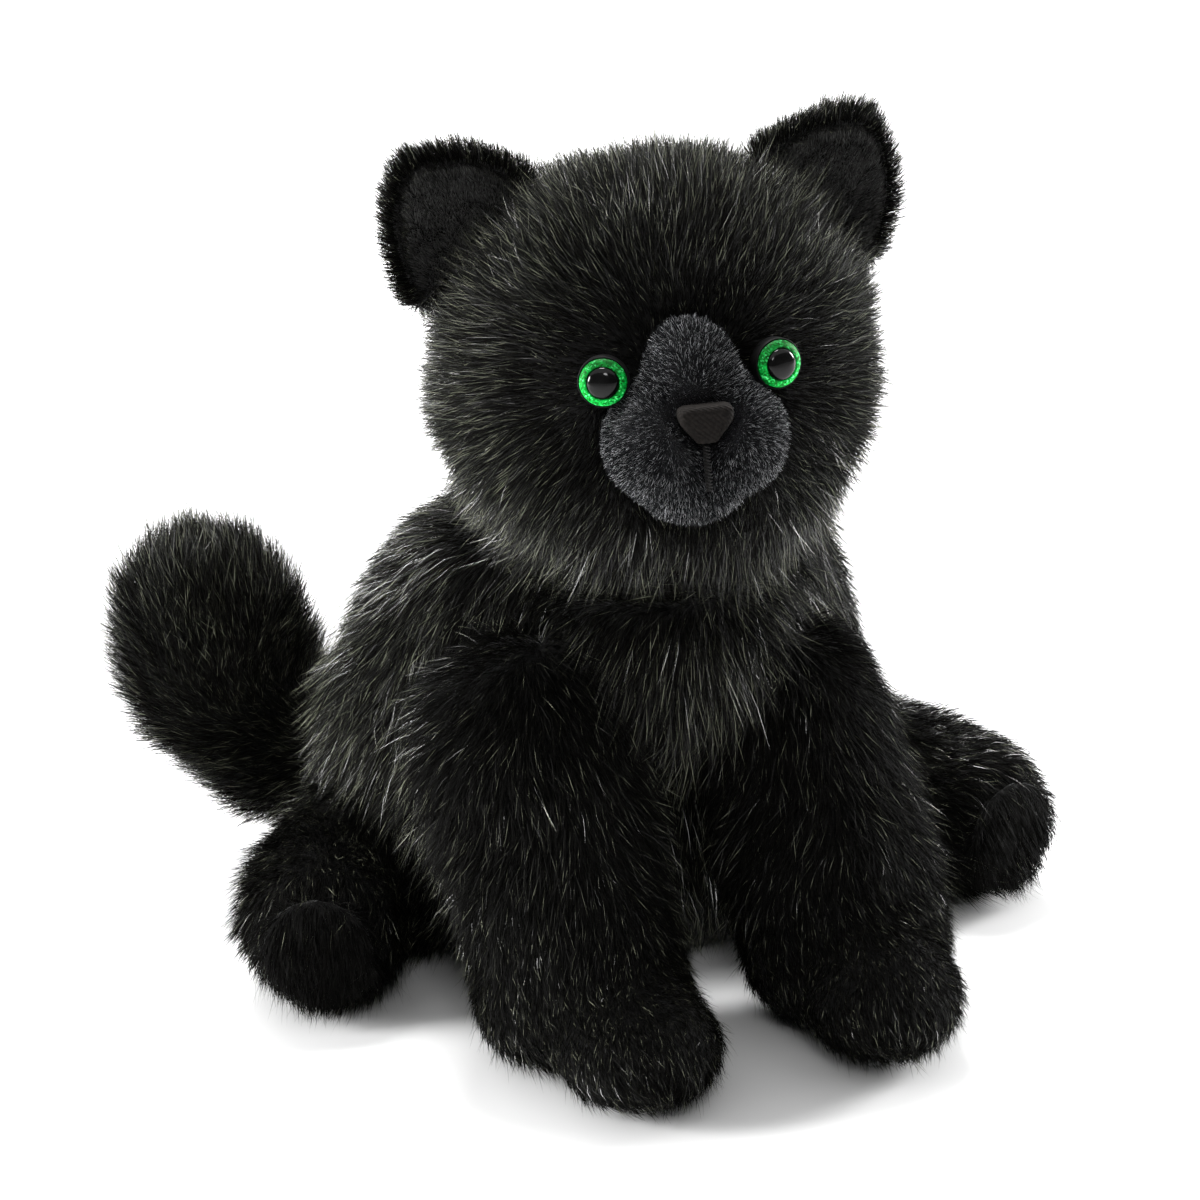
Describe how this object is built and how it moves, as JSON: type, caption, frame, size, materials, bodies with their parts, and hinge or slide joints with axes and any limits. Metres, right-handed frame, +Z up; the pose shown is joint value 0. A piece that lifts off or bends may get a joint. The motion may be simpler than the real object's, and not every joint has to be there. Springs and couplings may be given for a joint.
{
  "type": "plush cat",
  "caption": "Sitting plush cat with long-pile skins over stuffing, a short-pile muzzle, safety eyes, upright ears, forelegs in front, hind legs out to the sides and a raised tail",
  "frame": {"origin": "middle of the flat seat under the body", "axes": "+Z up, -Y the way the cat faces, +X to the cat's own left"},
  "size_m": [0.2248, 0.2218, 0.2188],
  "materials": {
    "long_pile": "matte",
    "short_pile": "matte",
    "nose_cloth": "matte",
    "thread": "matte",
    "eye_green": "glossy",
    "eye_black": "glossy",
    "washer": "satin",
    "filling": "matte",
    "pellets": "matte"
  },
  "bodies": {
    "body": {"body_skin": "long_pile", "body_filling": "filling", "pellet_bag": "pellets"},
    "neck": {"neck_core": "filling"},
    "head": {"head_skin": "long_pile", "head_filling": "filling", "muzzle_skin": "short_pile", "muzzle_filling": "filling", "nose": "nose_cloth", "mouth_thread": "thread", "eye_cup_left": "eye_black", "eye_iris_left": "eye_green", "eye_pupil_left": "eye_black", "eye_washer_left": "washer", "eye_cup_right": "eye_black", "eye_iris_right": "eye_green", "eye_pupil_right": "eye_black", "eye_washer_right": "washer"},
    "ear_left": {"ear_back_left": "long_pile", "ear_lining_left": "short_pile"},
    "ear_right": {"ear_back_right": "long_pile", "ear_lining_right": "short_pile"},
    "front_leg_left": {"front_leg_skin_left": "long_pile", "front_leg_filling_left": "filling"},
    "front_leg_right": {"front_leg_skin_right": "long_pile", "front_leg_filling_right": "filling"},
    "hind_leg_left": {"hind_leg_skin_left": "long_pile", "hind_leg_filling_left": "filling", "hind_sole_left": "short_pile"},
    "hind_leg_right": {"hind_leg_skin_right": "long_pile", "hind_leg_filling_right": "filling", "hind_sole_right": "short_pile"},
    "tail": {"tail_skin": "long_pile", "tail_filling": "filling"}
  },
  "joints": [
    {"name": "neck_turn", "type": "hinge", "parent": "body", "child": "neck", "pos_m": [-0.001, -0.05, 0.147], "axis": [0, 0, 1], "range_deg": [-25, 25], "stiffness_Nm_per_rad": 0.8},
    {"name": "head_nod", "type": "hinge", "parent": "neck", "child": "head", "pos_m": [-0.001, -0.05, 0.147], "axis": [0.9969, -0.0785, 0], "range_deg": [-10, 8], "stiffness_Nm_per_rad": 1},
    {"name": "ear_fold_left", "type": "hinge", "parent": "head", "child": "ear_left", "pos_m": [0.04011, -0.05215, 0.195], "axis": [0.7288, -0.0574, -0.6823], "range_deg": [-20, 14], "stiffness_Nm_per_rad": 0.02},
    {"name": "ear_fold_right", "type": "hinge", "parent": "head", "child": "ear_right", "pos_m": [-0.03964, -0.04587, 0.195], "axis": [0.7288, -0.0574, 0.6823], "range_deg": [-20, 14], "stiffness_Nm_per_rad": 0.02},
    {"name": "shoulder_left", "type": "hinge", "parent": "body", "child": "front_leg_left", "pos_m": [0.027, -0.064, 0.076], "axis": [1, 0, 0], "range_deg": [-18, 4], "stiffness_Nm_per_rad": 0.5},
    {"name": "shoulder_right", "type": "hinge", "parent": "body", "child": "front_leg_right", "pos_m": [-0.04, -0.064, 0.08], "axis": [1, 0, 0], "range_deg": [-18, 4], "stiffness_Nm_per_rad": 0.5},
    {"name": "hip_left", "type": "hinge", "parent": "body", "child": "hind_leg_left", "pos_m": [0.052, 0.002, 0.028], "axis": [0, 0, 1], "range_deg": [-10, 8], "stiffness_Nm_per_rad": 0.5},
    {"name": "hip_right", "type": "hinge", "parent": "body", "child": "hind_leg_right", "pos_m": [-0.052, 0.002, 0.028], "axis": [0, 0, -1], "range_deg": [-10, 8], "stiffness_Nm_per_rad": 0.5},
    {"name": "tail_swing", "type": "hinge", "parent": "body", "child": "tail", "pos_m": [-0.014, 0.046, 0.032], "axis": [0, 0, 1], "range_deg": [-18, 2], "stiffness_Nm_per_rad": 0.4}
  ]
}
